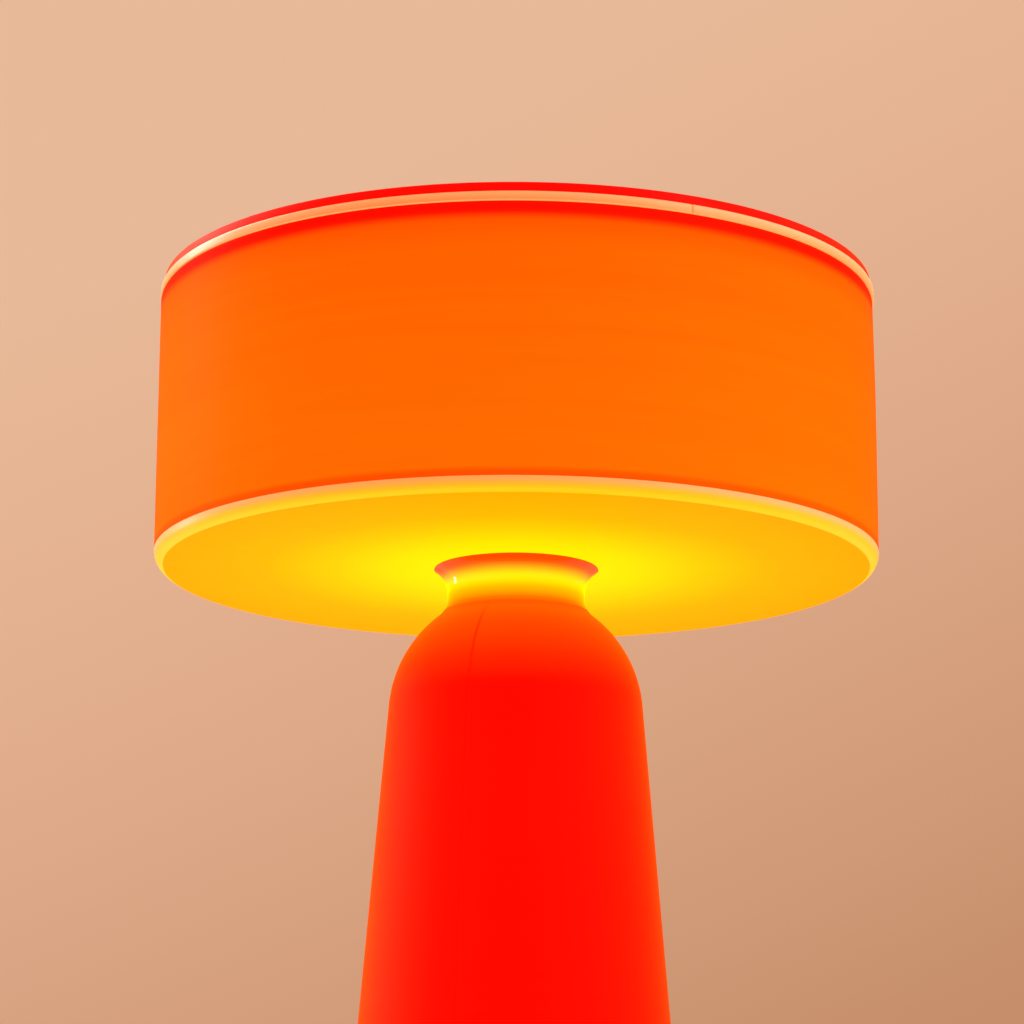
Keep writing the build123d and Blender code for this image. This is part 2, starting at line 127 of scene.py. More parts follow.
# %% Node helpers and an empty world
def add_node(tree, kind, inputs=None, **settings):
    """Adds a node, sets its settings and joins its inputs to sockets or sets their values."""
    made = tree.nodes.new("ShaderNode" + kind)
    for name, value in settings.items():
        setattr(made, name, value)
    for socket, value in (inputs or {}).items():
        if isinstance(value, bpy.types.NodeSocket):
            tree.links.new(value, made.inputs[socket])
        else:
            entry = made.inputs[socket]
            entry.default_value = (*value, 1.0) if entry.type == "RGBA" else value
    return made


def fill_ramp(node, stops):
    """Sets the stops of a colour ramp; each is (place from 0 to 1, colour)."""
    elements = node.color_ramp.elements
    while len(elements) < len(stops):
        elements.new(0.5)
    for element, (place, colour) in zip(elements, stops):
        element.position, element.color = place, (*colour, 1.0)


world = bpy.data.worlds.new("backdrop")
bpy.context.scene.world = world
world.use_nodes = True
sky = world.node_tree
sky.nodes.clear()
print(world.name, "starts with", len(sky.nodes), "nodes")

# %% [markdown]
# ## Backdrop
# A plain peach backdrop is simplest as a world colour that only the camera and reflections see,
# while a dim warm white lights the lamp from all round. The backdrop gets paler upwards and to the
# left, so its colour is a ramp along a slanted direction.

# %% Backdrop
WALL_STOPS = [
    (0.02, tone(198, 142, 107)),
    (0.12, tone(213, 159, 125)),
    (0.24, tone(227, 176, 143)),
    (0.34, tone(232, 185, 152)),
]
WALL_SLANT = (-0.45, 0.0, 1.0)
AMBIENT = (1.0, 0.93, 0.86)
AMBIENT_STRENGTH = 0.06

direction = add_node(sky, "TexCoord").outputs["Generated"]
lean = add_node(sky, "VectorMath", {0: direction, 1: WALL_SLANT}, operation="DOT_PRODUCT")
wall = add_node(sky, "ValToRGB", {0: lean.outputs["Value"]})
fill_ramp(wall, WALL_STOPS)
seen = add_node(sky, "Background", {"Color": wall.outputs["Color"], "Strength": 1.0})
lighting = add_node(sky, "Background", {"Color": AMBIENT, "Strength": AMBIENT_STRENGTH})
rays = add_node(sky, "LightPath").outputs
shows = rays["Is Camera Ray"]
for ray in ("Is Glossy Ray", "Is Transmission Ray"):
    shows = add_node(sky, "Math", {0: shows, 1: rays[ray]}, operation="MAXIMUM").outputs[0]
blend = add_node(sky, "MixShader", {0: shows, 1: lighting.outputs[0], 2: seen.outputs[0]})
add_node(sky, "OutputWorld", {"Surface": blend.outputs[0]})
print("world nodes", len(sky.nodes))

# %% [markdown]
# ## Soft boxes
# The highlights tell where the light came from: a window high up behind to the left, with a narrow
# strip of light below it. Broad pale walls at both sides fill the shadows; they are too dull to
# show as highlights, so glossy rays don't see them. The front is left dark, as on the real one.


# %% Soft boxes
def soft_box(name, place, width, height, watts, shiny=False):
    """Rectangular light that faces the lamp's middle: its -Z axis lies along middle - place."""
    light = bpy.data.lights.new(name, "AREA")
    light.shape = "RECTANGLE"
    light.size, light.size_y = width, height
    light.energy = watts
    light.color = LIGHT_COLOUR
    made = add_object(name, light)
    made.location = place
    towards = Vector(LAMP_MIDDLE) - Vector(place)
    made.rotation_euler = towards.to_track_quat("-Z", "Y").to_euler()
    made.visible_camera = False
    made.visible_glossy = shiny
    print(name, "at", place, watts, "W")


LAMP_MIDDLE = (0.0, 0.0, 0.2)
LIGHT_COLOUR = (1.0, 0.95, 0.9)
soft_box("window_left", (-1.1, 0.6, 1.1), 0.3, 1.0, 13.0, shiny=True)
soft_box("strip_left", (-1.1, 0.6, 0.17), 0.12, 0.34, 1.4, shiny=True)
soft_box("broad_left", (-1.48, -0.2, 0.8), 1.2, 1.1, 10.0)
soft_box("broad_right", (1.45, -0.39, 0.8), 2.0, 1.1, 26.0)
soft_box("overhead", (-0.2, -1.0, 1.5), 1.4, 1.0, 1.5)

# %% [markdown]
# ## A finish
# Every finish is one Principled shader fed by a few nodes that read the piece's own Object
# coordinates, so a pattern stays put when the piece moves. This class gives the nodes short names:
# a height, a distance from the axis, a noise, a colour ramp, the layer lines of a print.

# %% Finish helper
LAYER = 0.4 * MM


class Finish:
    """A material with one Principled shader, and short words for the nodes that feed it."""

    def __init__(self, name, **constants):
        self.material = bpy.data.materials.new(name)
        self.material.use_nodes = True
        self.tree = self.material.node_tree
        self.shader = self.tree.nodes["Principled BSDF"]
        for socket, value in constants.items():
            self.shader.inputs[socket.replace("_", " ")].default_value = value
        self.point = self.node("TexCoord").outputs["Object"]
        self.height = self.node("SeparateXYZ", {0: self.point}).outputs["Z"]
        flat = self.vector("MULTIPLY", (1, 1, 0)).outputs[0]
        reach = self.node("VectorMath", {0: flat}, operation="LENGTH")
        self.radius = reach.outputs["Value"]

    def node(self, kind, inputs=None, **settings):
        """Adds a node to this material."""
        return add_node(self.tree, kind, inputs, **settings)

    def feed(self, socket, source):
        """Joins a node's output to one of the shader's sockets."""
        self.tree.links.new(source, self.shader.inputs[socket])

    def glow(self, source):
        """Lets the surface give off light of a colour."""
        self.shader.inputs["Emission Strength"].default_value = 1.0
        self.feed("Emission Color", source)

    def rough(self, pattern, low, high):
        """Roughness from low to high by a pattern from 0 to 1."""
        self.feed("Roughness", self.number(pattern, low, high))

    def math(self, operation, first, second=0.0):
        """One sum on two numbers or sockets."""
        return self.node("Math", {0: first, 1: second}, operation=operation).outputs[0]

    def vector(self, operation, second):
        """One sum on the point and a second vector."""
        return self.node("VectorMath", {0: self.point, 1: second}, operation=operation)

    def dot(self, direction):
        """How far the point lies along a direction."""
        return self.vector("DOT_PRODUCT", direction).outputs["Value"]

    def noise(self, scale, detail=3.0):
        """Noise from 0 to 1, with a scale in cycles per metre along X, Y and Z."""
        stretched = self.vector("MULTIPLY", scale).outputs[0]
        inputs = {"Vector": stretched, "Scale": 1.0, "Detail": detail}
        return self.node("TexNoise", inputs).outputs["Fac"]

    def between(self, value, low, high):
        """Maps a value from low..high to 0..1, held at the ends."""
        inputs = {"Value": value, "From Min": low, "From Max": high}
        return self.node("MapRange", inputs).outputs[0]

    def number(self, factor, low, high):
        """Number from low to high by a factor from 0 to 1."""
        inputs = {"Value": factor, "To Min": low, "To Max": high}
        return self.node("MapRange", inputs).outputs[0]

    def ramp(self, value, stops):
        """Colour that runs from stop to stop; each stop is (value, colour)."""
        low, high = stops[0][0], stops[-1][0]
        made = self.node("ValToRGB", {0: self.between(value, low, high)})
        fill_ramp(made, [((place - low) / (high - low), colour) for place, colour in stops])
        return made.outputs["Color"]

    def mix(self, factor, first, second):
        """Colour between first and second, by a factor from 0 to 1."""
        inputs = {0: factor, 6: first, 7: second}
        return self.node("Mix", inputs, data_type="RGBA").outputs[2]

    def scaled(self, colour, factor):
        """Colour times a number."""
        made = self.node("VectorMath", {0: colour, "Scale": factor}, operation="SCALE")
        return made.outputs[0]

    def bump(self, height, depth, normal=None):
        """Normal of a surface raised by height (0 to 1) times depth in metres."""
        inputs = {"Height": height, "Distance": depth, "Strength": 1.0}
        if normal is not None:
            inputs["Normal"] = normal
        return self.node("Bump", inputs).outputs["Normal"]

    def bands(self, pitch, turn=0.0, axis="Z"):
        """Ridges a pitch in metres apart; at a scale of 1 they repeat every 2 pi / 20."""
        turned = self.node("Mapping", {"Vector": self.point, "Rotation": (0, 0, turn)})
        scale = 2 * math.pi / 20 / pitch
        inputs = {"Vector": turned.outputs[0], "Scale": scale, "Distortion": 0.4}
        return self.node("TexWave", inputs, bands_direction=axis).outputs["Fac"]

    def layered(self, line_depth, pattern, depth):
        """Normal of level layer lines with a pattern raised over them."""
        return self.bump(pattern, depth, self.bump(self.bands(LAYER), line_depth))


print("printed layers are", LAYER, "m high")

# %% [markdown]
# ## Floor
# The lamp stands on a plain pale floor. The camera is a little lower than the table top, so the
# floor stops short of it, like a table's edge. On every side it ends before it passes the soft
# boxes, because nothing lights it behind them.

# %% Floor
FLOOR_REACH = 0.8
floor_signs = [(-1, -1), (1, -1), (1, 1), (-1, 1)]
floor_corners = [(x * FLOOR_REACH, y * FLOOR_REACH, 0.0) for x, y in floor_signs]
floor_mesh = bpy.data.meshes.new("floor")
floor_mesh.from_pydata(floor_corners, [], [(0, 1, 2, 3)])
floor = add_object("floor", floor_mesh)

pale = Finish("pale_floor", Roughness=0.85)
clouds = pale.noise((3, 3, 3))
pale.feed("Base Color", pale.mix(clouds, tone(232, 196, 168), tone(236, 202, 176)))
floor_mesh.materials.append(pale.material)
print("floor reaches", FLOOR_REACH, "m from the axis")

# %% [markdown]
# ## Outlines
# A printer lays down rings, so nearly every visible piece is a turned form: an outline of radius
# and height carried once round the axis. An outline here is a list of corners, each softened by a
# short curve, because no printed or moulded edge is quite sharp.


# %% Outlines
def rounded(corners, step=3.0 * MM, soft=5, closed=True):
    """Outline through corners (radius, height, reach), closed or from the first corner to the last.

    Each corner is replaced by the curve (1-t)^2 A + 2t(1-t) C + t^2 B, where A and B lie at the
    corner's reach before and after it. The straight runs between get rows that crowd to both ends.
    """
    corners = np.array(corners, float)
    places, reach = corners[:, :2], corners[:, 2:]
    to_last = np.roll(places, 1, axis=0) - places
    to_next = np.roll(places, -1, axis=0) - places
    before = places + to_last / np.linalg.norm(to_last, axis=1, keepdims=True) * reach
    after = places + to_next / np.linalg.norm(to_next, axis=1, keepdims=True) * reach
    t = np.linspace(0, 1, soft)[:, None]
    rows = []
    for index, corner in enumerate(places):
        if reach[index, 0] > 0:
            ends = (1 - t) ** 2 * before[index] + 2 * t * (1 - t) * corner
            rows.append(ends + t**2 * after[index])
        else:
            rows.append(corner[None, :])
        if closed or index < len(places) - 1:
            run = before[(index + 1) % len(places)] - after[index]
            count = int(np.linalg.norm(run) / step)
            u = (1 - np.cos(np.pi * np.arange(1, count + 1) / (count + 1)))[:, None] / 2
            rows.append(after[index] + u * run)
    return np.concatenate(rows)


def arc(centre, radius, start, end, count):
    """Corners centre + radius (cos a, sin a), for a from start to end, with no rounding."""
    a = np.linspace(start, end, count)
    across, up = centre[0] + radius * np.cos(a), centre[1] + radius * np.sin(a)
    return np.stack([across, up, 0 * a], axis=1).tolist()


square = rounded([(1, 0, 0), (2, 0, 0), (2, 1, 0), (1, 1, 0)], step=0.5)
print("a square outline has", len(square), "rows")

# %% [markdown]
# ## Turned surfaces
# Spin or Screw could turn an outline, but a grid worked out with numpy lets each column be nudged,
# which a printed seam or a thread needs. An outline that starts and ends on the axis gets a point
# with a fan of triangles at each pole; any other one closes on itself like a ring.

# %% Turned surfaces
CROWD_REACH, CROWD_COLUMNS, CROWD_CLEAR = 2.5, 11, 2.8


def around(count, seam=None, width=0.0):
    """Even angles round the axis, with a crowd of extra columns across a seam of some width."""
    angles = np.arange(count) * 2 * np.pi / count
    if seam is not None:
        crowd = seam + width * np.linspace(-CROWD_REACH, CROWD_REACH, CROWD_COLUMNS)
        clear = np.abs(np.angle(np.exp(1j * (angles - seam)))) > CROWD_CLEAR * width
        angles = np.sort(np.concatenate([angles[clear], crowd % (2 * np.pi)]))
    return angles


def turn(profile, angles, shift=0.0):
    """Points (r + shift) cos a, (r + shift) sin a, z: a row for each r, z, a column for each a."""
    radius = profile[:, :1] + shift
    height = profile[:, 1:] + 0 * angles
    return np.stack([radius * np.cos(angles), radius * np.sin(angles), height], axis=-1)


def ring_faces(rows, columns, closed_rows=True):
    """Quads of a grid whose columns close round the axis; corners run along the ring, then up."""
    last = rows if closed_rows else rows - 1
    i, j = np.meshgrid(np.arange(last), np.arange(columns), indexing="ij")
    below, above = i * columns, (i + 1) % rows * columns
    side = (j + 1) % columns
    return np.stack([below + j, below + side, above + side, above + j], axis=-1)


def pole_faces(rows, columns):
    """Quads of an open grid and a fan at each end; the two poles follow the grid's points."""
    j = np.arange(columns)
    side, last, pole = (j + 1) % columns, (rows - 1) * columns, 0 * j + rows * columns
    first_fan = np.stack([pole, side, j], axis=-1)
    last_fan = np.stack([pole + 1, last + j, last + side], axis=-1)
    quads = ring_faces(rows, columns, closed_rows=False).reshape(-1, 4)
    return quads.tolist() + first_fan.tolist() + last_fan.tolist()


print("4 rows of 8 points with two poles have", len(pole_faces(4, 8)), "faces")

# %% [markdown]
# ## Pieces
# A grid becomes a mesh object that rides on a body of the frame and stands for a CAD node. It is
# shaded smooth, and edges that turn sharply are marked to stay crisp.

# %% Pieces
EDGE, CRISP_ANGLE = 0.3 * MM, math.radians(40)


def add_piece(name, points, faces, body, node):
    """Makes a smooth mesh object that rides on its body and stands for its node."""
    mesh = bpy.data.meshes.new(name)
    mesh.from_pydata(points.reshape(-1, 3).tolist(), [], faces)
    mesh.polygons.foreach_set("use_smooth", np.ones(len(mesh.polygons), bool))
    mesh.update()
    mesh.set_sharp_from_angle(angle=CRISP_ANGLE)
    piece = add_object(name, mesh)
    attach(piece, body)
    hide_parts(node)
    print(name, len(mesh.vertices), "points", len(mesh.polygons), "faces")
    return piece


def turned_piece(name, profile, angles, body, node, shift=0.0):
    """Turns a profile into a closed piece, with poles where it starts and ends on the axis."""
    if profile[0, 0] > EDGE:
        points = turn(profile, angles, shift)
        faces = ring_faces(*points.shape[:2]).reshape(-1, 4).tolist()
        return add_piece(name, points, faces, body, node)
    grid = turn(profile[1:-1], angles, shift)
    poles = np.array([[0.0, 0.0, profile[0, 1]], [0.0, 0.0, profile[-1, 1]]])
    points = np.concatenate([grid.reshape(-1, 3), poles])
    return add_piece(name, points, pole_faces(*grid.shape[:2]), body, node)


print("edges are rounded by", EDGE, "m")

# %% [markdown]
# ## Painting faces
# A piece whose sides have different finishes gets one material slot for each, and every face says
# which slot it uses. Choosing by the middle of a face needs no selecting by hand.


# %% Painting faces
def face_middles(piece):
    """Distance from the axis and height of the middle of every face."""
    middles = np.empty(3 * len(piece.data.polygons), np.float32)
    piece.data.polygons.foreach_get("center", middles)
    across, deep, up = middles.reshape(-1, 3).T
    return np.hypot(across, deep), up


def paint(piece, finishes, choice=0):
    """Gives each face the finish whose number stands in choice."""
    for finish in finishes:
        piece.data.materials.append(finish.material)
    numbers = np.zeros(len(piece.data.polygons), np.int32) + choice
    piece.data.polygons.foreach_set("material_index", numbers.astype(np.int32))
    names = [finish.material.name for finish in finishes]
    print(piece.name, dict(zip(names, np.bincount(numbers, minlength=len(names)).tolist())))


# %% [markdown]
# ## Base outline
# The base is one printed shell: a straight taper, a round shoulder, a short waist and a flared lip
# that carries the shade, with a collar to centre it. They flow into each other without a kink, so
# the arcs are worked out from their ends and tangents. A hollow fillet leads into the waist: its
# centre lies the two radii together away from the shoulder's.

# %% Base outline
SHOULDER_RADIUS, SHOULDER_HEIGHT = 41.8 * MM, 172.5 * MM
SHELL_WALL = 2.4 * MM
NECK_HEIGHT, WAIST_HEIGHT = 14.5 * MM, 6.0 * MM
NECK_RADIUS, BORE_RADIUS = 22.8 * MM, 20.4 * MM
NECK_ROOT, FOOT_ROUND = 8.5 * MM, 0.8 * MM
LIP_RADIUS, LIP_EDGE = 27.3 * MM, 0.3 * MM
COLLAR_RADIUS, FLOOR_RISE = 23.9 * MM, 1.0 * MM
DOME_ROWS, ROOT_ROWS, FLARE_ROWS, CAVITY_ROWS = 30, 14, 20, 24
lip_height = floor_bottom + FLOOR_RISE
neck_foot = lip_height - NECK_HEIGHT
flare_start = neck_foot + WAIST_HEIGHT
taper_slope = (foot_radius - SHOULDER_RADIUS) / (SHOULDER_HEIGHT - foot_height)
taper_angle = math.atan(taper_slope)
taper_wall = SHELL_WALL / math.cos(taper_angle)


def taper_radius(height):
    """Outer radius of the tapered wall: foot radius minus slope times the height above the foot."""
    return foot_radius - taper_slope * (height - foot_height)


inward = np.array([-math.cos(taper_angle), -math.sin(taper_angle)])
chord = np.array([NECK_RADIUS - SHOULDER_RADIUS, neck_foot - SHOULDER_HEIGHT])
dome_radius = chord @ chord / (2 * inward @ chord)
dome_centre = np.array([SHOULDER_RADIUS, SHOULDER_HEIGHT]) + inward * dome_radius
root_reach = NECK_RADIUS + NECK_ROOT - dome_centre[0]
root_rise = math.sqrt((dome_radius + NECK_ROOT) ** 2 - root_reach**2)
root_centre = dome_centre + (root_reach, root_rise)
dome_end = math.atan2(root_rise, root_reach)
cavity_end = math.acos((BORE_RADIUS - dome_centre[0]) / (dome_radius - SHELL_WALL))
flare_out, flare_up = LIP_RADIUS - NECK_RADIUS, lip_height - LIP_EDGE - flare_start
flare_radius = (flare_out**2 + flare_up**2) / (2 * flare_out)
flare_centre = (NECK_RADIUS + flare_radius, flare_start)
flare_end = math.atan2(flare_up, flare_out - flare_radius)

WINDOW_HEIGHT, WINDOW_HALF = 24.0 * MM, 13.0 * MM
window_rows = (WINDOW_HEIGHT - WINDOW_HALF, WINDOW_HEIGHT + WINDOW_HALF)
outer_wall = [(taper_radius(z), z, 0.0) for z in window_rows]
inner_wall = [(taper_radius(z) - taper_wall, z, 0.0) for z in reversed(window_rows)]
base_profile = rounded(
    [(foot_radius, foot_height, FOOT_ROUND)]
    + outer_wall
    + arc(dome_centre, dome_radius, taper_angle, dome_end, DOME_ROWS)
    + arc(root_centre, NECK_ROOT, dome_end + math.pi, math.pi, ROOT_ROWS)[1:]
    + arc(flare_centre, flare_radius, math.pi, flare_end, FLARE_ROWS)
    + [(LIP_RADIUS, lip_height, LIP_EDGE / 2), (COLLAR_RADIUS, lip_height, EDGE)]
    + [(COLLAR_RADIUS, collar_top, EDGE), (BORE_RADIUS, collar_top, EDGE)]
    + arc(dome_centre, dome_radius - SHELL_WALL, cavity_end, taper_angle, CAVITY_ROWS)
    + inner_wall
    + [(foot_radius - taper_wall, foot_height, EDGE)],
    step=2.6 * MM,
)
print("base outline", len(base_profile), "rows, dome radius", round(dome_radius, 4))

# %% [markdown]
# ## Base grid
# The printer starts each ring at the same place, which leaves a fine upright seam on the shoulder:
# extra columns there are pushed in by less than a tenth of a millimetre. At the back the wall has a
# round recess for the cord gland, so a square window is left out of the grid.

# %% Base grid with its seam and its rear window
SEAM_ANGLE = math.radians(270 - 21)
SEAM_WIDTH, SEAM_DEPTH = math.radians(0.55), 0.09 * MM
SEAM_WANDER = ((0.35, 900), (0.25, 2300))
BASE_COLUMNS, WINDOW_COLUMNS, WINDOW_CLEAR = 176, 15, math.radians(0.8)
window_side = math.asin(WINDOW_HALF / taper_radius(WINDOW_HEIGHT))
window_columns = math.pi / 2 + window_side * np.linspace(-1, 1, WINDOW_COLUMNS)
base_angles = around(BASE_COLUMNS, SEAM_ANGLE, SEAM_WIDTH)
outside = np.abs(base_angles - math.pi / 2) > window_side + WINDOW_CLEAR
base_angles = np.sort(np.concatenate([base_angles[outside], window_columns]))
seam_line = np.exp(-(((base_angles - SEAM_ANGLE) / SEAM_WIDTH) ** 2))
before_top = np.arange(len(base_profile)) < np.argmax(base_profile[:, 1])
on_body = before_top & (base_profile[:, 0] > LIP_RADIUS)
wander = np.ones(len(base_profile))
for share, waves in SEAM_WANDER:
    wander += share * np.sin(base_profile[:, 1] * waves)
seam_shift = -SEAM_DEPTH * (on_body * wander)[:, None] * seam_line
base_points = turn(base_profile, base_angles, seam_shift)
base_faces = ring_faces(*base_points.shape[:2])
first_column = int(np.argmin(np.abs(base_angles - window_columns[0])))
last_column = int(np.argmin(np.abs(base_angles - window_columns[-1])))


def rows_between(inset):
    """Rows of the profile from the window's lower edge up, at an inset from the outside."""
    places = [(taper_radius(z) - inset, z) for z in window_rows]
    low, high = [int(np.argmin(np.hypot(*(base_profile - place).T))) for place in places]
    return np.arange(low, high + 1) if high > low else np.arange(low, high - 1, -1)


def window_edge(rows):
    """Indices round the square window: along the bottom, up, back along the top and down."""
    columns = len(base_angles)
    return np.concatenate([
        rows[0] * columns + np.arange(first_column, last_column),
        rows[:-1] * columns + last_column,
        rows[-1] * columns + np.arange(last_column, first_column, -1),
        rows[:0:-1] * columns + first_column,
    ])


outer_rows, inner_rows = rows_between(0.0), rows_between(taper_wall)
for rows in (outer_rows, inner_rows):
    base_faces[rows.min():rows.max(), first_column:last_column] = -1
kept_faces = base_faces[base_faces[..., 0] >= 0]
print("window", len(outer_rows), "rows outside", len(inner_rows), "inside")

# %% [markdown]
# ## Gland recess
# A patch of rings leads from the window's square edge to the round recess, through the gland's hole
# and back out to the inner wall. Every ring has as many points as the edge, so they join in quads
# and the shell stays closed. Cutting with a Boolean would leave long slivers.

# %% Rings from the window to the gland's hole
RECESS_RADIUS, HOLE_RADIUS, PAD_RADIUS = 8.15 * MM, 5.15 * MM, 11.0 * MM
RECESS_FACE, PAD_FACE = 52.233 * MM, 48.833 * MM
OUTER_SHARES, INNER_SHARE = (0.3, 0.65, 0.95), 0.5
flat_points = base_points.reshape(-1, 3)
outer_edge, inner_edge = window_edge(outer_rows), window_edge(inner_rows)
spokes = flat_points[outer_edge][:, [0, 2]] - (0.0, WINDOW_HEIGHT)
spokes /= np.linalg.norm(spokes, axis=1, keepdims=True)


def ring(radius, depth=None, inset=0.0, edge=None, share=1.0):
    """Circle round the inlet at one depth, or on the wall at y = sqrt((R(z) - inset)^2 - x^2).

    With an edge, the points lie a share of the way from that edge to the circle.
    """
    flat = spokes * radius + (0.0, WINDOW_HEIGHT)
    if edge is not None:
        flat = flat_points[edge][:, [0, 2]] * (1 - share) + flat * share
    x, z = flat.T
    on_wall = np.sqrt((taper_radius(z) - inset) ** 2 - x**2)
    y = on_wall if depth is None else np.full(len(x), depth)
    return np.stack([x, y, z], axis=1)


rings = [ring(RECESS_RADIUS, edge=outer_edge, share=s) for s in OUTER_SHARES]
rings += [ring(RECESS_RADIUS), ring(RECESS_RADIUS, RECESS_FACE), ring(HOLE_RADIUS, RECESS_FACE)]
rings += [ring(HOLE_RADIUS, PAD_FACE), ring(PAD_RADIUS, PAD_FACE)]
rings += [ring(PAD_RADIUS, inset=taper_wall)]
rings += [ring(PAD_RADIUS, inset=taper_wall, edge=inner_edge, share=INNER_SHARE)]
ring_index = np.arange(len(rings) * len(outer_edge)).reshape(len(rings), -1) + len(flat_points)
path = np.concatenate([outer_edge[None], ring_index, inner_edge[None]])
beside = np.roll(path, -1, axis=1)
patch_faces = np.stack([path[:-1], beside[:-1], beside[1:], path[1:]], axis=-1).reshape(-1, 4)
base_piece = add_piece(
    "base_print",
    np.concatenate([flat_points, *rings]),
    kept_faces.tolist() + patch_faces.tolist(),
    "base", "base_shell",
)

# %% [markdown]
# ## Finish of the base
# Near the thin neck the light from the socket makes the red plastic glow yellow, and the glow fades
# through orange to plain red down the shoulder. The ramp also paints other light: the shoulder's
# orange is partly the glowing underside shining down on it, and the neck's yellow band is partly a
# painted reflection of that underside in the glossy neck. Light that really scatters through the
# wall would be slow and grainy, so a ramp over height stands for all of it. The body is satin with
# level layer lines, and side light catches their tiny ridges with a warm gleam, which is what a
# tinted sheen does. On the seam the glow is dimmer. The neck is smooth and glossy.


# %% Base finish
def stops(start, rows):
    """Stops of a ramp; a row is millimetres past the start, then red, green and blue."""
    return [(start + row[0] * MM, row[1:]) for row in rows]


# Painted light: glow through the wall, plus the underside's light and reflection near the neck.
BASE_GLOW_AND_REFLECTION = stops(foot_height, [(0, 0.44, 0, 0)])
BASE_GLOW_AND_REFLECTION += stops(0, [
    (70, 0.6, 0, 0), (110, 0.74, 0, 0), (174, 0.8, 0, 0), (182.6, 0.8, 0.016, 0),
    (195.8, 0.8, 0.06, 0), (200.5, 0.8, 0.094, 0), (203.2, 0.8, 0.096, 0),
    (205, 0.8, 0.165, 0), (206, 0.82, 0.29, 0), (208.6, 0.84, 0.52, 0),
    (210.6, 0.87, 0.82, 0), (212.1, 0.88, 0.87, 0), (213.1, 0.86, 0.74, 0),
    (215.3, 0.8, 0.27, 0), (216.2, 0.76, 0.12, 0), (217.4, 0.75, 0.062, 0),
])
BASE_GLOW_AND_REFLECTION += stops(lip_height, [(0, 0.75, 0.068, 0)]) + stops(collar_top, [(0, 0.85, 0.3, 0.02)])
SEAM_MIDDLE, SEAM_DIM = 184 * MM, (0.95, 0.35, 1.0)
SEAM_SIDES, SEAM_ENDS = (0.1 * MM, 0.8 * MM), (9 * MM, 20 * MM)
RED, PALER_RED = (0.80, 0.001, 0.0004), (0.86, 0.002, 0.0006)
GLEAM = (1.0, 0.38, 0.02, 1.0)


def seam_shade(finish):
    """From 0 on the seam to 1 off it: grows with the distance to the seam's upright plane.

    The other side of the axis is left out, and the seam fades above and below the shoulder.
    """
    beside = finish.dot((-math.sin(SEAM_ANGLE), math.cos(SEAM_ANGLE), 0.0))
    ahead = finish.dot((math.cos(SEAM_ANGLE), math.sin(SEAM_ANGLE), 0.0))
    away = finish.between(finish.math("ABSOLUTE", beside), *SEAM_SIDES)
    away = finish.math("MAXIMUM", away, finish.math("LESS_THAN", ahead))
    past = finish.math("ABSOLUTE", finish.math("SUBTRACT", finish.height, SEAM_MIDDLE))
    return finish.math("MAXIMUM", away, finish.between(past, *SEAM_ENDS))


def red_print(name, rough, depth, **constants):
    """Red printed plastic: streaked colour, a glow that follows height, and level layer lines."""
    finish = Finish(name, **constants)
    streaks = finish.noise((9, 9, 420), detail=4)
    finish.feed("Base Color", finish.mix(streaks, RED, PALER_RED))
    glow = finish.ramp(finish.height, BASE_GLOW_AND_REFLECTION)
    inputs = {0: glow, 1: SEAM_DIM}
    dimmed = finish.node("VectorMath", inputs, operation="MULTIPLY").outputs[0]
    finish.glow(finish.mix(seam_shade(finish), dimmed, glow))
    finish.rough(finish.noise((30, 30, 300)), *rough)
    finish.feed("Normal", finish.layered(depth, streaks, 3 * depth))
    return finish


body_red = red_print(
    "satin_red_body", (0.48, 0.62), 0.012 * MM,
    Specular_IOR_Level=0.02, Sheen_Weight=1.0, Sheen_Roughness=0.42, Sheen_Tint=GLEAM,
)
neck_red = red_print("glossy_red_neck", (0.05, 0.09), 0.001 * MM, Specular_IOR_Level=0.3)
base_up = face_middles(base_piece)[1]
paint(base_piece, [body_red, neck_red], base_up > neck_foot)

# %% [markdown]
# ## Diffuser drum
# The diffuser is printed in a natural, slightly milky plastic: a hub that sits on the collar, a
# floor that dips a little to the rim, a rounded rim that carries the sleeve and a thin wall. One
# closed outline makes it all, and the rim is an arc that ends upright under the sleeve.

# %% Diffuser drum
DRUM_RADIUS, DRUM_BORE = 118.5 * MM, 116.9 * MM
RIM_INSET = 3.0 * MM
FLOOR_THICKNESS, HUB_HEIGHT = 2.0 * MM, 6.5 * MM
HUB_RADIUS, HUB_OUTER = 24.2 * MM, 26.6 * MM
DRUM_COLUMNS, RIM_ROWS = 224, 12
rim_height = rim_top - floor_bottom
rim_radius = (RIM_INSET**2 + rim_height**2) / (2 * RIM_INSET)
rim_end = math.atan2(-rim_height, rim_radius - RIM_INSET)
floor_top, hub_foot = floor_bottom + FLOOR_THICKNESS, lip_height + FLOOR_THICKNESS
hub_top, seat_radius = hub_foot + HUB_HEIGHT, LIP_RADIUS + EDGE
drum_profile = rounded(
    [(HUB_RADIUS, hub_top, EDGE), (HUB_RADIUS, lip_height, EDGE), (seat_radius, lip_height, 0.0)]
    + arc((sleeve_radius - rim_radius, rim_top), rim_radius, rim_end, 0.0, RIM_ROWS)
    + [(DRUM_RADIUS, rim_top, 0.0), (DRUM_RADIUS, drum_top, EDGE), (DRUM_BORE, drum_top, EDGE)]
    + [(DRUM_BORE, floor_top, EDGE), (HUB_OUTER, hub_foot, EDGE), (HUB_OUTER, hub_top, EDGE)],
)
drum_piece = turned_piece(
    "diffuser_print", drum_profile, around(DRUM_COLUMNS),
    "shade", "diffuser_drum",
)

# %% [markdown]
# ## Crown ring
# A cream band shows between the sleeve and the lid. It is as wide as the sleeve, so it could not
# pass through it and is a ring of its own, dropped in from above, with a spigot inside the drum. A
# narrow notch right of the middle is where its print started.

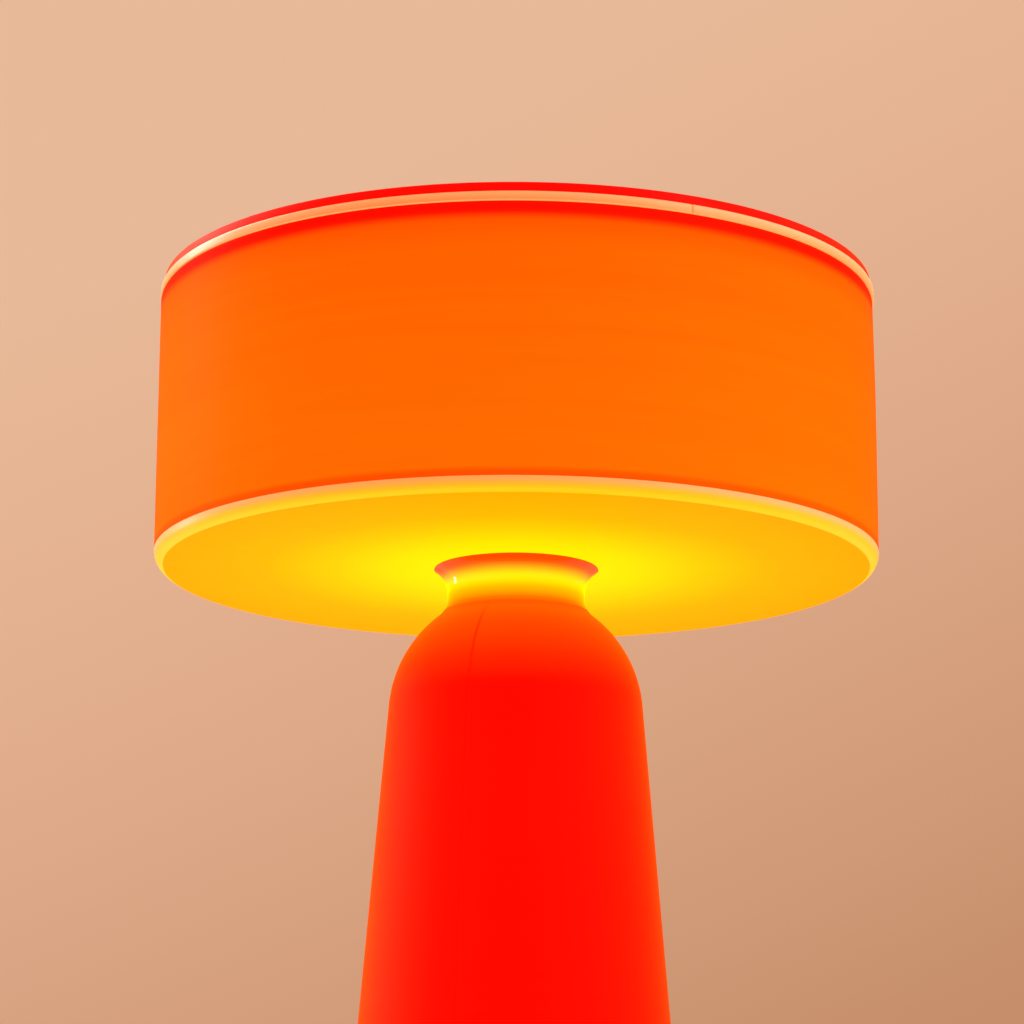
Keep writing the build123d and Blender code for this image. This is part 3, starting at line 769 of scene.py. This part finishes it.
# %% Crown ring
SPIGOT_RADIUS, CROWN_BORE, CROWN_ROUND = 116.75 * MM, 114.75 * MM, 0.6 * MM
BAND_RISE, SHADE_COLUMNS = 0.3 * MM, 256
band_bottom = drum_top + BAND_RISE
CROWN_SEAM = math.radians(270 + 26.6)
NOTCH_WIDTH, NOTCH_DEPTH = math.radians(0.16), 0.35 * MM
crown_profile = rounded([
    (CROWN_BORE, crown_low.z, EDGE),
    (SPIGOT_RADIUS, crown_low.z, EDGE),
    (SPIGOT_RADIUS, band_bottom, 0.0),
    (sleeve_radius, band_bottom, 0.15 * MM),
    (sleeve_radius, crown_top, CROWN_ROUND),
    (CROWN_BORE, crown_top, EDGE),
], step=1.0 * MM)
crown_angles = around(SHADE_COLUMNS, CROWN_SEAM, NOTCH_WIDTH)
notch = np.exp(-(((crown_angles - CROWN_SEAM) / NOTCH_WIDTH) ** 2))
on_band = crown_profile[:, 0] > SPIGOT_RADIUS + EDGE
crown_piece = turned_piece(
    "crown_print", crown_profile, crown_angles, "shade", "crown_ring",
    shift=-NOTCH_DEPTH * on_band[:, None] * notch,
)

# %% [markdown]
# ## Finishes of the diffuser and crown
# Lit from inside, the plastic is yellow where it is thin and near the bulb, and cream where it is
# thicker and daylight lies on it. The glow is painted by ramps, and so is shade in the base colour:
# the rim, crown and underside are shaded copies of one plastic, paler where daylight falls and
# yellow with almost no blue where a face turns down from it. The underside lay on the printer's
# bed, so it is matt without layer lines, and its glow fades outwards from the neck. The glossy rim
# and crown glow by height, and the inside is brightest. Each face gets its finish by where it lies.

# %% Diffuser and crown finishes
UNDERSIDE_GLOW = stops(0, [
    (24, 0.9, 0.78, 0), (42, 0.9, 0.69, 0), (60, 0.9, 0.52, 0), (84, 0.9, 0.35, 0),
    (117, 0.88, 0.275, 0),
])
RIM_GLOW = stops(floor_bottom, [
    (0, 0.86, 0.5, 0), (0.8, 0.86, 0.46, 0), (2.2, 0.8, 0.29, 0),
])
RIM_GLOW += stops(rim_top, [(-1, 0.74, 0.17, 0), (0, 0.72, 0.15, 0)])
# Painted shade in the base colour: paler at the top of the rim, yellow with no blue lower down.
RIM_TONE_AND_SHADE = stops(floor_bottom, [
    (1.5, 0.78, 0.4, 0.004), (2.4, 0.8, 0.46, 0.06), (3.4, 0.8, 0.48, 0.24),
])
# The first stop is a painted highlight: a light cream line along the ledge under the band.
CROWN_GLOW_AND_HIGHLIGHT = stops(band_bottom, [(0, 0.76, 0.32, 0.09), (0.2, 0.72, 0.06, 0)])
CROWN_GLOW_AND_HIGHLIGHT += stops(crown_top, [(0, 0.74, 0.15, 0)])
# Painted shade in the base colour: the crown band is paler towards its top.
CROWN_TONE_AND_SHADE = stops(drum_top, [(0, 0.8, 0.4, 0.12)]) + stops(crown_top, [(0, 0.8, 0.55, 0.34)])
INSIDE_GLOW = stops(floor_top, [(0, 1, 0.78, 0.34)]) + stops(rim_top, [(40, 0.98, 0.7, 0.26)])
INSIDE_GLOW += stops(drum_top, [(0, 0.9, 0.52, 0.14)])


def cream_print(name, glow, cream, gloss):
    """Glossy natural plastic: glow and colour with painted shade follow height, with streaks and
    layer lines.
    """
    finish = Finish(name, Specular_IOR_Level=gloss)
    streaks = finish.noise((7, 7, 500), detail=4)
    finish.glow(finish.ramp(finish.height, glow))
    colour = finish.ramp(finish.height, cream)
    finish.feed("Base Color", finish.scaled(colour, finish.number(streaks, 0.92, 1.08)))
    finish.rough(finish.noise((60, 60, 200)), 0.26, 0.38)
    finish.feed("Normal", finish.layered(0.012 * MM, streaks, 0.03 * MM))
    return finish


SKIN = 0.05 * MM
rim_finish = cream_print("glossy_cream_rim", RIM_GLOW, RIM_TONE_AND_SHADE, 0.5)
crown_finish = cream_print("glossy_cream_crown", CROWN_GLOW_AND_HIGHLIGHT, CROWN_TONE_AND_SHADE, 0.6)

underside = Finish("matt_underside", Specular_IOR_Level=0.02)
underside.glow(underside.ramp(underside.radius, UNDERSIDE_GLOW))
bed_marks = underside.noise((90, 90, 90), detail=2)
# Painted shade: the underside faces down, so its base colour is yellow with almost no blue.
underside_tone_and_shade = underside.mix(bed_marks, (0.80, 0.42, 0.002), (0.84, 0.47, 0.004))
underside.feed("Base Color", underside_tone_and_shade)
underside.rough(bed_marks, 0.6, 0.75)
underside.feed("Normal", underside.bump(underside.noise((700, 700, 700)), 0.01 * MM))

inside = Finish("lit_inside", Roughness=0.4)
inside_streaks = inside.noise((7, 7, 500), detail=4)
inside.glow(inside.ramp(inside.height, INSIDE_GLOW))
inside.feed("Base Color", inside.mix(inside_streaks, (0.90, 0.80, 0.62), (0.94, 0.86, 0.70)))
inside.feed("Normal", inside.bump(inside_streaks, 0.03 * MM))

drum_reach, drum_up = face_middles(drum_piece)
is_under = (drum_up < lip_height + SKIN) & (drum_reach < sleeve_radius - RIM_INSET)
in_drum = (drum_reach < DRUM_BORE + EDGE) & (drum_up > floor_top - SKIN)
in_drum &= drum_reach > HUB_RADIUS + EDGE
paint(drum_piece, [rim_finish, underside, inside], is_under + 2 * in_drum)
crown_reach = face_middles(crown_piece)[0]
paint(crown_piece, [crown_finish, inside], crown_reach < CROWN_BORE + EDGE)

# %% [markdown]
# ## Sleeve
# A thin orange tube slips over the diffuser and stands on its rim. Its two hems are thicker, so
# they look redder. Towards its upper edge it is drawn in, a hair more at the right than at the
# left, and bevelled, so the crown stands out over it as a narrow ledge.

# %% Sleeve
SLEEVE_WALL, HEM_WALL, HEM_HEIGHT = 0.9 * MM, 1.2 * MM, 2.4 * MM
DRAW_IN, DRAW_HEIGHT, BEVEL, LEAN = 0.3 * MM, 32 * MM, 0.45 * MM, 0.25 * MM
wall_radius, hem_radius = sleeve_radius - SLEEVE_WALL, sleeve_radius - HEM_WALL
sleeve_edge = sleeve_top + BAND_RISE
sleeve_profile = rounded([
    (sleeve_radius, rim_top, 0.15 * MM),
    (sleeve_radius, sleeve_edge - DRAW_HEIGHT, 20 * MM),
    (sleeve_radius - DRAW_IN, sleeve_edge - 2 * BEVEL, 0.3 * MM),
    (sleeve_radius - DRAW_IN - BEVEL, sleeve_edge, 0.1 * MM),
    (hem_radius, sleeve_edge, 0.1 * MM),
    (hem_radius, sleeve_top - HEM_HEIGHT, 0.0),
    (wall_radius, sleeve_top - HEM_HEIGHT, 0.0),
    (wall_radius, rim_top + HEM_HEIGHT, 0.0),
    (hem_radius, rim_top + HEM_HEIGHT, 0.0),
    (hem_radius, rim_top, 0.0),
], step=2.0 * MM)
sleeve_angles = around(SHADE_COLUMNS)
rise = np.clip(1 - (sleeve_edge - sleeve_profile[:, 1:]) / DRAW_HEIGHT, 0, 1)
sleeve_piece = turned_piece(
    "sleeve_print", sleeve_profile, sleeve_angles, "shade", "shade_sleeve",
    shift=-LEAN * rise * np.cos(sleeve_angles),
)

# %% [markdown]
# ## Finish of the sleeve
# The glow is even and orange, and red at the upper hem, where the crown's spigot stands behind it.
# One ring of plastic is thicker than the next, so a noise that is stretched flat makes the glow a
# little stronger or weaker from ring to ring.

# %% Sleeve finish
SLEEVE_GLOW = stops(rim_top, [
    (0, 0.74, 0.04, 0), (1.6, 0.76, 0.048, 0), (3, 0.8, 0.112, 0), (40, 0.8, 0.105, 0),
])
SLEEVE_GLOW += stops(sleeve_top, [
    (-13, 0.8, 0.088, 0), (-5.6, 0.8, 0.056, 0), (-3.4, 0.78, 0.006, 0),
    (-2.2, 0.76, 0, 0), (0, 0.76, 0, 0),
])
# Painted shade: the base colour is redder at the upper hem too, like the glow behind the spigot.
SLEEVE_COLOUR_AND_SHADE = stops(sleeve_top, [(-6, 0.86, 0.08, 0.001), (-3, 0.84, 0.01, 0.001)])
orange = Finish(
    "printed_orange", Specular_IOR_Level=0.003,
    Sheen_Weight=0.5, Sheen_Roughness=0.3, Sheen_Tint=GLEAM,
)
streaks = orange.noise((5, 5, 260), detail=5)
glow = orange.ramp(orange.height, SLEEVE_GLOW)
orange.glow(orange.scaled(glow, orange.number(streaks, 0.86, 1.12)))
colour = orange.ramp(orange.height, SLEEVE_COLOUR_AND_SHADE)
orange.feed("Base Color", orange.scaled(colour, orange.number(streaks, 0.94, 1.08)))
orange.rough(orange.noise((40, 40, 400)), 0.36, 0.48)
orange.feed("Normal", orange.layered(0.010 * MM, streaks, 0.04 * MM))
paint(sleeve_piece, [orange])

# %% [markdown]
# ## Lid
# The lid is a red disc with a low ring below that centres it in the crown. Its outline starts and
# ends on the axis, so the disc closes in a point at each pole.

# %% Lid
LID_RING_RADIUS, LID_RING_BORE = 114.45 * MM, 112.45 * MM
lid_profile = rounded([
    (0.0, crown_top, 0.0),
    (LID_RING_BORE, crown_top, 0.0),
    (LID_RING_BORE, lid_low.z, EDGE),
    (LID_RING_RADIUS, lid_low.z, EDGE),
    (LID_RING_RADIUS, crown_top, 0.0),
    (lid_radius, crown_top, 0.2 * MM),
    (lid_radius, lid_top, 0.5 * MM),
    (0.0, lid_top, 0.0),
], step=4.0 * MM, closed=False)
lid_piece = turned_piece(
    "lid_print", lid_profile, around(SHADE_COLUMNS), "lid", "top_lid"
)

# %% [markdown]
# ## Finish of the lid
# The edge shows layer lines like the base. The top was laid down in straight strokes side by side,
# so its ridges run at an angle across the disc.

# %% Lid finish
STROKE = 0.6 * MM
# Painted light: the lid's glow, strongest at its rim, stands for light from the lit shade below.
LID_GLOW = stops(0, [(0, 0.36, 0.004, 0), (90, 0.4, 0.002, 0)])
LID_GLOW += stops(lid_radius, [(0, 0.66, 0, 0)])
lid_red = Finish(
    "printed_lid", Specular_IOR_Level=0.12,
    Sheen_Weight=0.8, Sheen_Roughness=0.4, Sheen_Tint=GLEAM,
)
streaks = lid_red.noise((14, 14, 300), detail=4)
colour = lid_red.mix(streaks, (0.78, 0.002, 0.0004), (0.84, 0.003, 0.0006))
lid_red.feed("Base Color", colour)
lid_red.glow(lid_red.ramp(lid_red.radius, LID_GLOW))
lid_red.rough(lid_red.noise((50, 50, 200)), 0.40, 0.55)
on_top = lid_red.between(lid_red.height, lid_top - 0.4 * MM, lid_top - 0.1 * MM)
strokes = lid_red.math("MULTIPLY", lid_red.bands(STROKE, math.radians(45), "X"), on_top)
lid_red.feed("Normal", lid_red.layered(0.010 * MM, strokes, 0.03 * MM))
paint(lid_piece, [lid_red])

# %% [markdown]
# ## Bulb globe
# The bulb has an opal globe, a hollow part of a sphere that stands on its housing. The outline runs
# down the inner sphere to the foot and back up the outer one. Lit, it is an even warm white, a
# little weaker near its foot where the light has further to go.

# %% Bulb globe
GLOBE_WALL, GLOBE_ROWS, BULB_COLUMNS = 1.2 * MM, 40, 96
globe_low, globe_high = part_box("bulb_globe")
globe_radius, globe_foot = globe_high.x, globe_low.z
globe_centre = (0.0, globe_high.z - globe_radius)
globe_drop = globe_centre[1] - globe_foot
inner_radius = globe_radius - GLOBE_WALL
inner_foot = -math.asin(globe_drop / inner_radius)
outer_foot = -math.asin(globe_drop / globe_radius)
globe_profile = np.array(
    arc(globe_centre, inner_radius, math.pi / 2, inner_foot, GLOBE_ROWS)
    + arc(globe_centre, globe_radius, outer_foot, math.pi / 2, GLOBE_ROWS)
)[:, :2]
globe_piece = turned_piece(
    "opal_globe", globe_profile, around(BULB_COLUMNS), "bulb", "bulb_globe"
)

GLOBE_GLOW = [(globe_foot, (0.95, 0.74, 0.44)), (globe_high.z, (1.0, 0.88, 0.62))]
opal = Finish("lit_opal", Specular_IOR_Level=0.5)
cloud = opal.noise((120, 120, 120), detail=2)
opal.feed("Base Color", opal.mix(cloud, (0.86, 0.84, 0.78), (0.90, 0.88, 0.83)))
opal.glow(opal.ramp(opal.height, GLOBE_GLOW))
opal.rough(cloud, 0.22, 0.32)
opal.feed("Normal", opal.bump(opal.noise((900, 900, 900)), 0.004 * MM))
paint(globe_piece, [opal])

# %% [markdown]
# ## Bulb cap
# The cap is thin plated sheet, rolled into a rounded screw thread. A Screw modifier could do it,
# but on the grid it is one formula: the radius swells and shrinks with height over pitch less the
# turn, so the ridge climbs one pitch in each turn. The swell fades out towards the two plain ends.

# %% Bulb cap with its thread
CAP_PITCH, CAP_WALL = 3.62 * MM, 0.4 * MM
CAP_CONE, CAP_MOUTH, THREAD_DEPTH = 2.0 * MM, 10.4 * MM, 0.9 * MM
cap_low, cap_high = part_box("bulb_cap")
cap_radius, cap_side = cap_high.x, cap_low.z + CAP_CONE
cap_outline = rounded([
    (CAP_MOUTH - CAP_WALL, cap_low.z, 0.0),
    (CAP_MOUTH, cap_low.z, 0.0),
    (cap_radius, cap_side, 0.6 * MM),
    (cap_radius, cap_high.z, 0.0),
    (cap_radius - CAP_WALL, cap_high.z, 0.0),
    (cap_radius - CAP_WALL, cap_side, 0.6 * MM),
], step=0.3 * MM)
cap_angles = around(BULB_COLUMNS)
up = cap_outline[:, 1:]
to_end = np.minimum(up - cap_side, cap_high.z - CAP_PITCH / 2 - up)
fade = np.clip(to_end / CAP_PITCH, 0, 1)
swell = np.cos(2 * np.pi * up / CAP_PITCH - cap_angles)
cap_piece = turned_piece(
    "threaded_cap", cap_outline, cap_angles, "bulb", "bulb_cap",
    shift=THREAD_DEPTH / 2 * fade * (swell - 1),
)

# %% [markdown]
# ## Metals
# The bulb cap is bright nickel, the holder's shell and contacts are brass, the nuts, washers and
# tube are zinc plated and the weight is rolled steel. Bare metal is mostly reflection, so one
# helper makes them all from two close tones, a roughness and a shallow relief. The tube's fine
# thread is hidden inside the base, so bands in its relief are enough.


# %% Metals
def metal(name, dark, bright, grain, rough, relief, pitch=None):
    """Bare metal: tone, roughness and relief follow one noise, stretched by its grain.

    With a pitch, the relief is a thread. Relief and pitch are in millimetres.
    """
    finish = Finish(name, Metallic=1.0)
    pattern = finish.noise(grain, detail=4)
    finish.feed("Base Color", finish.mix(pattern, dark, bright))
    finish.rough(pattern, *rough)
    ridges = finish.bands(pitch * MM) if pitch else pattern
    finish.feed("Normal", finish.bump(ridges, relief * MM))
    return finish


def dress(finish, *nodes):
    """Puts a finish in every material slot of some CAD nodes."""
    for name in nodes:
        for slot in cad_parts[name].material_slots:
            slot.material = finish.material
    print(finish.material.name, "on", ", ".join(nodes))


METALS = {
    "nickel_plate": [(0.62, 0.60, 0.56), (0.74, 0.72, 0.68), (90, 90, 500), (0.16, 0.30), 0.01],
    "rolled_steel": [(0.30, 0.30, 0.31), (0.44, 0.44, 0.45), (12, 320, 12), (0.32, 0.52), 0.02],
    "zinc_plate": [(0.52, 0.53, 0.52), (0.72, 0.72, 0.68), (260, 260, 260), (0.24, 0.44), 0.01],
    "bright_brass": [(0.62, 0.42, 0.15), (0.80, 0.58, 0.26), (140, 140, 500), (0.18, 0.34), 0.01],
    "dull_solder": [(0.42, 0.42, 0.41), (0.58, 0.58, 0.56), (600, 600, 600), (0.36, 0.55), 0.02],
    "threaded_zinc": [(0.5, 0.51, 0.5), (0.7, 0.7, 0.66), (260, 260, 260), (0.26, 0.46), 0.3, 1],
}
metals = {name: metal(name, *recipe) for name, recipe in METALS.items()}
paint(cap_piece, [metals["nickel_plate"]])
dress(metals["rolled_steel"], "weight_plate")
zinc = metals["zinc_plate"]
dress(zinc, "rod_lower_nut", "rod_lower_washer", "rod_upper_nut", "rod_upper_washer")
dress(zinc, "holder_stop_nut")
dress(metals["bright_brass"], "terminal_screws", "centre_contact", "screw_shell")
dress(metals["dull_solder"], "bulb_contact")
dress(metals["threaded_zinc"], "lamp_rod")

# %% [markdown]
# ## Plastics, rubber and ceramic
# The gland is black plastic, the pads are matt rubber, and the holder is white with an unglazed
# ceramic insert. Moulded surfaces copy the fine texture of their tool, so each has a cloudy tone, a
# roughness that follows it and a very fine relief.


# %% Plastics, rubber and ceramic
def moulded(name, dark, bright, rough, texture, relief, **constants):
    """Moulded piece: cloudy tone and roughness, and a fine texture with a relief in mm."""
    finish = Finish(name, **constants)
    clouds = finish.noise((70, 70, 70))
    finish.feed("Base Color", finish.mix(clouds, dark, bright))
    finish.rough(clouds, *rough)
    fine = finish.noise((texture, texture, texture), detail=2)
    finish.feed("Normal", finish.bump(fine, relief * MM))
    return finish


MOULDINGS = {
    "black_moulding": [(0.016, 0.016, 0.017), (0.030, 0.030, 0.031), (0.34, 0.50), 1500, 0.02],
    "matt_rubber": [(0.014, 0.014, 0.014), (0.028, 0.027, 0.026), (0.70, 0.90), 900, 0.05],
    "white_moulding": [(0.78, 0.76, 0.71), (0.84, 0.82, 0.77), (0.24, 0.36), 1400, 0.01],
    "unglazed_ceramic": [(0.72, 0.68, 0.60), (0.82, 0.79, 0.72), (0.60, 0.80), 700, 0.04],
    "black_glass": [(0.010, 0.010, 0.014), (0.022, 0.022, 0.028), (0.06, 0.14), 500, 0.01],
    "white_board": [(0.80, 0.80, 0.77), (0.86, 0.86, 0.83), (0.30, 0.42), 2000, 0.01],
}
mouldings = {name: moulded(name, *recipe) for name, recipe in MOULDINGS.items()}
phosphor = moulded(
    "lit_phosphor", (0.80, 0.58, 0.10), (0.88, 0.68, 0.18), (0.30, 0.45), 3000, 0.02,
    Emission_Strength=1.0, Emission_Color=(1.0, 0.90, 0.60, 1.0),
)
dress(mouldings["black_moulding"], "cord_gland", "gland_nut")
dress(mouldings["matt_rubber"], "foot_pads")
dress(mouldings["white_moulding"], "holder_cap", "holder_skirt", "bulb_housing")
dress(mouldings["unglazed_ceramic"], "holder_insert")
dress(mouldings["black_glass"], "bulb_insulator")
dress(mouldings["white_board"], "led_board")
dress(phosphor, "led_chips")

# %% [markdown]
# ## Screws under the foot
# Four countersunk screws hold the weight in the foot. Each has a cross recess: on the flat of the
# head, points inside one of two crossed slots are pushed in by a soft step, so that the walls of
# the slots slope as a driver needs. One grid is worked out and then set in four places.

# %% Screws with a cross recess
SCREW_COUNT, SCREW_COLUMNS, SCREW_TURN = 4, 64, math.radians(45)
HEAD_RADIUS, SHANK_RADIUS, HEAD_SKIN = 3.0 * MM, 1.5 * MM, 0.01 * MM
SLOT_HALF, SLOT_REACH, SLOT_DEPTH, SLOT_SOFT = 0.35 * MM, 1.7 * MM, 1.1 * MM, 0.03 * MM
screws_low, screws_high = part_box("plate_screws")
screw_ring = (screws_high.x - HEAD_RADIUS) / math.cos(SCREW_TURN)
screw_profile = rounded([
    (0.0, screws_low.z, 0.0),
    (HEAD_RADIUS, screws_low.z, 0.15 * MM),
    (SHANK_RADIUS, screws_low.z + HEAD_RADIUS - SHANK_RADIUS, 0.2 * MM),
    (SHANK_RADIUS, screws_high.z, 0.3 * MM),
    (0.0, screws_high.z, 0.0),
], step=0.15 * MM, closed=False)
screw_grid = turn(screw_profile[1:-1], around(SCREW_COLUMNS))


def slot_cover(along, across):
    """From 1 in a slot to 0 outside: a soft step at its sides times one at its ends."""
    sides = 1 / (1 + np.exp((np.abs(across) - SLOT_HALF) / SLOT_SOFT))
    ends = 1 / (1 + np.exp((np.abs(along) - SLOT_REACH) / SLOT_SOFT))
    return sides * ends


x, y, z = np.moveaxis(screw_grid, -1, 0)
on_head = z < screws_low.z + HEAD_SKIN
recess = SLOT_DEPTH * np.maximum(slot_cover(x, y), slot_cover(y, x)) * on_head
screw_grid[..., 2] += recess
poles = np.array([[0, 0, screws_low.z + SLOT_DEPTH], [0, 0, screws_high.z]])
one_screw = np.concatenate([screw_grid.reshape(-1, 3), poles])
turns = SCREW_TURN + np.arange(SCREW_COUNT) * 2 * np.pi / SCREW_COUNT
places = screw_ring * np.stack([np.cos(turns), np.sin(turns), 0 * turns], axis=1)
screw_points = one_screw[None] + places[:, None]
one_faces = pole_faces(*screw_grid.shape[:2])
starts = [n * len(one_screw) for n in range(SCREW_COUNT)]
screw_faces = [[v + start for v in face] for start in starts for face in one_faces]
screws_piece = add_piece(
    "foot_screws", screw_points, screw_faces, "base", "plate_screws"
)
paint(screws_piece, [zinc])
